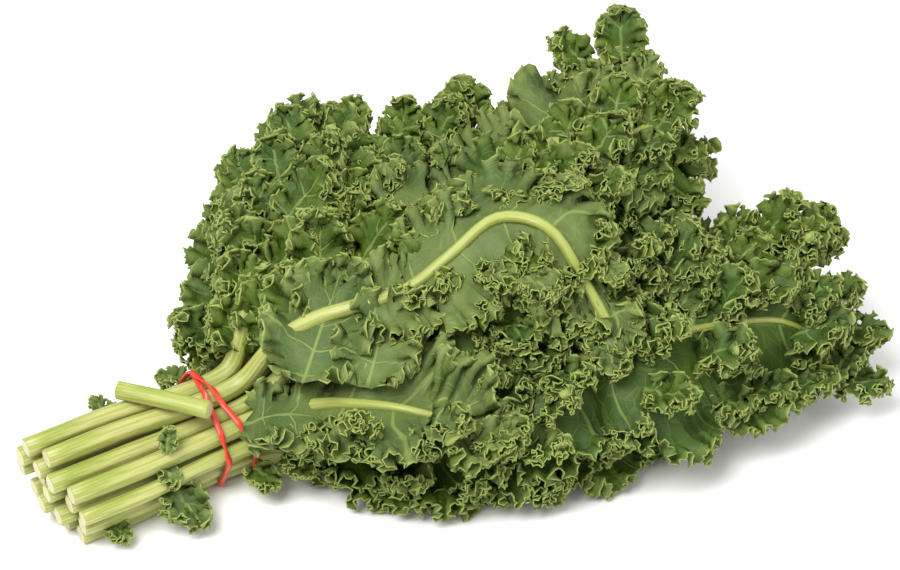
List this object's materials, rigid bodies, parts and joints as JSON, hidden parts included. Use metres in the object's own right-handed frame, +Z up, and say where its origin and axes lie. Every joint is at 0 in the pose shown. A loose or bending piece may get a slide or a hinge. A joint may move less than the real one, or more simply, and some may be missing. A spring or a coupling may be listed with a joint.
{
  "type": "kale bunch",
  "caption": "Bunch of curly kale lying down: cut ribbed stems gathered by a twisted red rubber band, frilled green leaves fanned out beyond it",
  "frame": {"origin": "middle of the bounding box on the table that the bunch lies on", "axes": "+X along the stems from their cut ends to the leaf tips, +Y across the bunch, +Z up"},
  "size_m": [0.4086, 0.2818, 0.1324],
  "materials": {
    "leaf_green": "dark green frilled leaf, upper side out, on a pale ribbed stem",
    "leaf_pale": "grey-green frilled leaf, pale underside out, on a pale ribbed stem",
    "band_red": "smooth red rubber, slightly glossy",
    "stem_green": "pale yellow-green ribbed stem with a beige cut end"
  },
  "bodies": {
    "root": {"leaf_back_low": "leaf_green", "leaf_left_low": "leaf_green", "leaf_front_low": "leaf_green", "leaf_left_back": "leaf_green", "leaf_mid_low": "leaf_green", "leaf_back_mid": "leaf_green", "leaf_front_right": "leaf_green", "leaf_left_mid": "leaf_green", "leaf_back_centre": "leaf_green", "leaf_right_up": "leaf_green", "leaf_right_lobe": "leaf_green", "leaf_front_small": "leaf_pale", "leaf_tall": "leaf_pale", "leaf_centre": "leaf_green", "leaf_top_right": "leaf_green", "leaf_front_pale": "leaf_pale", "leaf_top_left": "leaf_green", "leaf_arched": "leaf_pale", "rubber_band": "band_red", "stem_offcut": "stem_green"}
  },
  "joints": []
}
